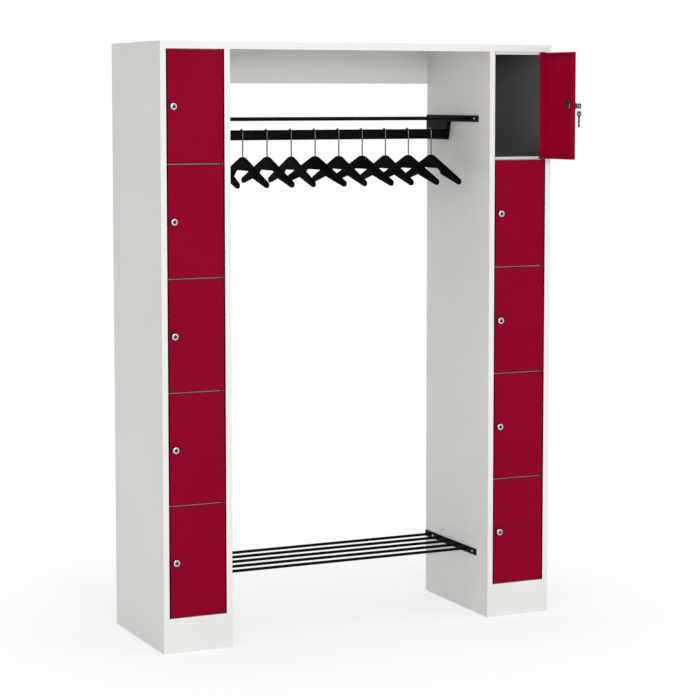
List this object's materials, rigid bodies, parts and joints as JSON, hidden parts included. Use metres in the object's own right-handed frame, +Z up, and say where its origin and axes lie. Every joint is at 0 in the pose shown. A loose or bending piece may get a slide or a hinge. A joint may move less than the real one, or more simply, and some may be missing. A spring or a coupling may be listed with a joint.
{
  "type": "coat stand with locker columns",
  "caption": "Free-standing steel coat bay between narrow locker columns, with hat shelf, coat rail, hangers, shoe rack and small lockable doors that swing.",
  "frame": {"origin": "on the floor, at the middle of the footprint of both columns", "axes": "+X to the unit's right seen from the front, +Y to its back, +Z up"},
  "size_m": [1.4355, 0.6977, 1.95],
  "materials": {
    "carcass_white": "smooth satin",
    "door_red": "smooth satin",
    "rack_black": "satin",
    "plain_steel": "zinc plated",
    "lock_chrome": "polished",
    "key_nickel": "nickel plated",
    "hook_chrome": "polished",
    "hanger_black": "satin"
  },
  "bodies": {
    "stand": {"left_outer_side": "carcass_white", "left_inner_side": "carcass_white", "right_inner_side": "carcass_white", "right_outer_side": "carcass_white", "left_back_panel": "carcass_white", "left_plinth": "carcass_white", "left_shelves": "carcass_white", "right_back_panel": "carcass_white", "right_plinth": "carcass_white", "right_shelves": "carcass_white", "roof": "carcass_white", "rear_apron": "carcass_white", "hat_shelf_brackets": "rack_black", "shoe_rack_brackets": "rack_black", "rack_tubes": "rack_black", "coat_rail": "rack_black", "bracket_screws": "plain_steel", "hinge_pins": "plain_steel"},
    "door_left_1": {"door_left_1": "door_red"},
    "lock_left_1": {"lock_left_1": "lock_chrome"},
    "door_left_2": {"door_left_2": "door_red"},
    "lock_left_2": {"lock_left_2": "lock_chrome"},
    "door_left_3": {"door_left_3": "door_red"},
    "lock_left_3": {"lock_left_3": "lock_chrome"},
    "door_left_4": {"door_left_4": "door_red"},
    "lock_left_4": {"lock_left_4": "lock_chrome"},
    "door_left_5": {"door_left_5": "door_red"},
    "lock_left_5": {"lock_left_5": "lock_chrome"},
    "door_right_1": {"door_right_1": "door_red"},
    "lock_right_1": {"lock_right_1": "lock_chrome", "key": "key_nickel"},
    "door_right_2": {"door_right_2": "door_red"},
    "lock_right_2": {"lock_right_2": "lock_chrome"},
    "door_right_3": {"door_right_3": "door_red"},
    "lock_right_3": {"lock_right_3": "lock_chrome"},
    "door_right_4": {"door_right_4": "door_red"},
    "lock_right_4": {"lock_right_4": "lock_chrome"},
    "door_right_5": {"door_right_5": "door_red"},
    "lock_right_5": {"lock_right_5": "lock_chrome"},
    "spare_key": {"spare_key": "key_nickel"},
    "hanger_hook_01": {"hanger_hook_01": "hook_chrome"},
    "hanger_shoulder_01": {"hanger_shoulder_01": "hanger_black"},
    "hanger_hook_02": {"hanger_hook_02": "hook_chrome"},
    "hanger_shoulder_02": {"hanger_shoulder_02": "hanger_black"},
    "hanger_hook_03": {"hanger_hook_03": "hook_chrome"},
    "hanger_shoulder_03": {"hanger_shoulder_03": "hanger_black"},
    "hanger_hook_04": {"hanger_hook_04": "hook_chrome"},
    "hanger_shoulder_04": {"hanger_shoulder_04": "hanger_black"},
    "hanger_hook_05": {"hanger_hook_05": "hook_chrome"},
    "hanger_shoulder_05": {"hanger_shoulder_05": "hanger_black"},
    "hanger_hook_06": {"hanger_hook_06": "hook_chrome"},
    "hanger_shoulder_06": {"hanger_shoulder_06": "hanger_black"},
    "hanger_hook_07": {"hanger_hook_07": "hook_chrome"},
    "hanger_shoulder_07": {"hanger_shoulder_07": "hanger_black"},
    "hanger_hook_08": {"hanger_hook_08": "hook_chrome"},
    "hanger_shoulder_08": {"hanger_shoulder_08": "hanger_black"},
    "hanger_hook_09": {"hanger_hook_09": "hook_chrome"},
    "hanger_shoulder_09": {"hanger_shoulder_09": "hanger_black"},
    "hanger_hook_10": {"hanger_hook_10": "hook_chrome"},
    "hanger_shoulder_10": {"hanger_shoulder_10": "hanger_black"}
  },
  "joints": [
    {"name": "door_left_1_swing", "type": "hinge", "parent": "stand", "child": "door_left_1", "pos_m": [-0.4985, -0.225, 1.7447], "axis": [0, 0, 1], "range_deg": [0, 110]},
    {"name": "door_left_2_swing", "type": "hinge", "parent": "stand", "child": "door_left_2", "pos_m": [-0.4985, -0.225, 1.3821], "axis": [0, 0, 1], "range_deg": [0, 110]},
    {"name": "door_left_3_swing", "type": "hinge", "parent": "stand", "child": "door_left_3", "pos_m": [-0.4985, -0.225, 1.0195], "axis": [0, 0, 1], "range_deg": [0, 110]},
    {"name": "door_left_4_swing", "type": "hinge", "parent": "stand", "child": "door_left_4", "pos_m": [-0.4985, -0.225, 0.6569], "axis": [0, 0, 1], "range_deg": [0, 110]},
    {"name": "door_left_5_swing", "type": "hinge", "parent": "stand", "child": "door_left_5", "pos_m": [-0.4985, -0.225, 0.2943], "axis": [0, 0, 1], "range_deg": [0, 110]},
    {"name": "door_right_1_swing", "type": "hinge", "parent": "stand", "child": "door_right_1", "pos_m": [0.6755, -0.225, 1.7447], "axis": [0, 0, 1], "range_deg": [-95, 15]},
    {"name": "door_right_2_swing", "type": "hinge", "parent": "stand", "child": "door_right_2", "pos_m": [0.6755, -0.225, 1.3821], "axis": [0, 0, 1], "range_deg": [0, 110]},
    {"name": "door_right_3_swing", "type": "hinge", "parent": "stand", "child": "door_right_3", "pos_m": [0.6755, -0.225, 1.0195], "axis": [0, 0, 1], "range_deg": [0, 110]},
    {"name": "door_right_4_swing", "type": "hinge", "parent": "stand", "child": "door_right_4", "pos_m": [0.6755, -0.225, 0.6569], "axis": [0, 0, 1], "range_deg": [0, 110]},
    {"name": "door_right_5_swing", "type": "hinge", "parent": "stand", "child": "door_right_5", "pos_m": [0.6755, -0.225, 0.2943], "axis": [0, 0, 1], "range_deg": [0, 110]},
    {"name": "lock_left_1_turn", "type": "hinge", "parent": "door_left_1", "child": "lock_left_1", "pos_m": [-0.664, -0.23, 1.7447], "axis": [0, -1, 0], "range_deg": [0, 90]},
    {"name": "lock_left_2_turn", "type": "hinge", "parent": "door_left_2", "child": "lock_left_2", "pos_m": [-0.664, -0.23, 1.3821], "axis": [0, -1, 0], "range_deg": [0, 90]},
    {"name": "lock_left_3_turn", "type": "hinge", "parent": "door_left_3", "child": "lock_left_3", "pos_m": [-0.664, -0.23, 1.0195], "axis": [0, -1, 0], "range_deg": [0, 90]},
    {"name": "lock_left_4_turn", "type": "hinge", "parent": "door_left_4", "child": "lock_left_4", "pos_m": [-0.664, -0.23, 0.6569], "axis": [0, -1, 0], "range_deg": [0, 90]},
    {"name": "lock_left_5_turn", "type": "hinge", "parent": "door_left_5", "child": "lock_left_5", "pos_m": [-0.664, -0.23, 0.2943], "axis": [0, -1, 0], "range_deg": [0, 90]},
    {"name": "lock_right_1_turn", "type": "hinge", "parent": "door_right_1", "child": "lock_right_1", "pos_m": [0.6949, -0.38943, 1.7447], "axis": [0.9962, 0.0872, 0], "range_deg": [0, 90]},
    {"name": "lock_right_2_turn", "type": "hinge", "parent": "door_right_2", "child": "lock_right_2", "pos_m": [0.51, -0.23, 1.3821], "axis": [0, -1, 0], "range_deg": [0, 90]},
    {"name": "lock_right_3_turn", "type": "hinge", "parent": "door_right_3", "child": "lock_right_3", "pos_m": [0.51, -0.23, 1.0195], "axis": [0, -1, 0], "range_deg": [0, 90]},
    {"name": "lock_right_4_turn", "type": "hinge", "parent": "door_right_4", "child": "lock_right_4", "pos_m": [0.51, -0.23, 0.6569], "axis": [0, -1, 0], "range_deg": [0, 90]},
    {"name": "lock_right_5_turn", "type": "hinge", "parent": "door_right_5", "child": "lock_right_5", "pos_m": [0.51, -0.23, 0.2943], "axis": [0, -1, 0], "range_deg": [0, 90]},
    {"name": "spare_key_swing", "type": "hinge", "parent": "lock_right_1", "child": "spare_key", "pos_m": [0.7214, -0.38712, 1.7426], "axis": [-0.0872, 0.9962, 0], "range_deg": [-60, 15]},
    {"name": "hanger_hook_01_slide", "type": "slide", "parent": "stand", "child": "hanger_hook_01", "axis": [1, 0, 0], "range_m": [-0.014, 0.025]},
    {"name": "hanger_hook_02_slide", "type": "slide", "parent": "stand", "child": "hanger_hook_02", "axis": [1, 0, 0], "range_m": [-0.025, 0.025]},
    {"name": "hanger_hook_03_slide", "type": "slide", "parent": "stand", "child": "hanger_hook_03", "axis": [1, 0, 0], "range_m": [-0.025, 0.025]},
    {"name": "hanger_hook_04_slide", "type": "slide", "parent": "stand", "child": "hanger_hook_04", "axis": [1, 0, 0], "range_m": [-0.025, 0.025]},
    {"name": "hanger_hook_05_slide", "type": "slide", "parent": "stand", "child": "hanger_hook_05", "axis": [1, 0, 0], "range_m": [-0.025, 0.025]},
    {"name": "hanger_hook_06_slide", "type": "slide", "parent": "stand", "child": "hanger_hook_06", "axis": [1, 0, 0], "range_m": [-0.025, 0.025]},
    {"name": "hanger_hook_07_slide", "type": "slide", "parent": "stand", "child": "hanger_hook_07", "axis": [1, 0, 0], "range_m": [-0.025, 0.025]},
    {"name": "hanger_hook_08_slide", "type": "slide", "parent": "stand", "child": "hanger_hook_08", "axis": [1, 0, 0], "range_m": [-0.025, 0.025]},
    {"name": "hanger_hook_09_slide", "type": "slide", "parent": "stand", "child": "hanger_hook_09", "axis": [1, 0, 0], "range_m": [-0.025, 0.025]},
    {"name": "hanger_hook_10_slide", "type": "slide", "parent": "stand", "child": "hanger_hook_10", "axis": [1, 0, 0], "range_m": [-0.025, 0.015]},
    {"name": "hanger_shoulder_01_swivel", "type": "hinge", "parent": "hanger_hook_01", "child": "hanger_shoulder_01", "pos_m": [-0.3947, 0.064, 1.575], "axis": [0, 0, 1], "range_deg": [-8, 8]},
    {"name": "hanger_shoulder_02_swivel", "type": "hinge", "parent": "hanger_hook_02", "child": "hanger_shoulder_02", "pos_m": [-0.3065, 0.064, 1.575], "axis": [0, 0, 1], "range_deg": [-8, 8]},
    {"name": "hanger_shoulder_03_swivel", "type": "hinge", "parent": "hanger_hook_03", "child": "hanger_shoulder_03", "pos_m": [-0.2183, 0.064, 1.575], "axis": [0, 0, 1], "range_deg": [-8, 8]},
    {"name": "hanger_shoulder_04_swivel", "type": "hinge", "parent": "hanger_hook_04", "child": "hanger_shoulder_04", "pos_m": [-0.1301, 0.064, 1.575], "axis": [0, 0, 1], "range_deg": [-8, 8]},
    {"name": "hanger_shoulder_05_swivel", "type": "hinge", "parent": "hanger_hook_05", "child": "hanger_shoulder_05", "pos_m": [-0.0419, 0.064, 1.575], "axis": [0, 0, 1], "range_deg": [-8, 8]},
    {"name": "hanger_shoulder_06_swivel", "type": "hinge", "parent": "hanger_hook_06", "child": "hanger_shoulder_06", "pos_m": [0.0463, 0.064, 1.575], "axis": [0, 0, 1], "range_deg": [-8, 8]},
    {"name": "hanger_shoulder_07_swivel", "type": "hinge", "parent": "hanger_hook_07", "child": "hanger_shoulder_07", "pos_m": [0.1345, 0.064, 1.575], "axis": [0, 0, 1], "range_deg": [-8, 8]},
    {"name": "hanger_shoulder_08_swivel", "type": "hinge", "parent": "hanger_hook_08", "child": "hanger_shoulder_08", "pos_m": [0.2227, 0.064, 1.575], "axis": [0, 0, 1], "range_deg": [-8, 8]},
    {"name": "hanger_shoulder_09_swivel", "type": "hinge", "parent": "hanger_hook_09", "child": "hanger_shoulder_09", "pos_m": [0.3109, 0.064, 1.575], "axis": [0, 0, 1], "range_deg": [-8, 8]},
    {"name": "hanger_shoulder_10_swivel", "type": "hinge", "parent": "hanger_hook_10", "child": "hanger_shoulder_10", "pos_m": [0.3991, 0.064, 1.575], "axis": [0, 0, 1], "range_deg": [-8, 8]}
  ]
}
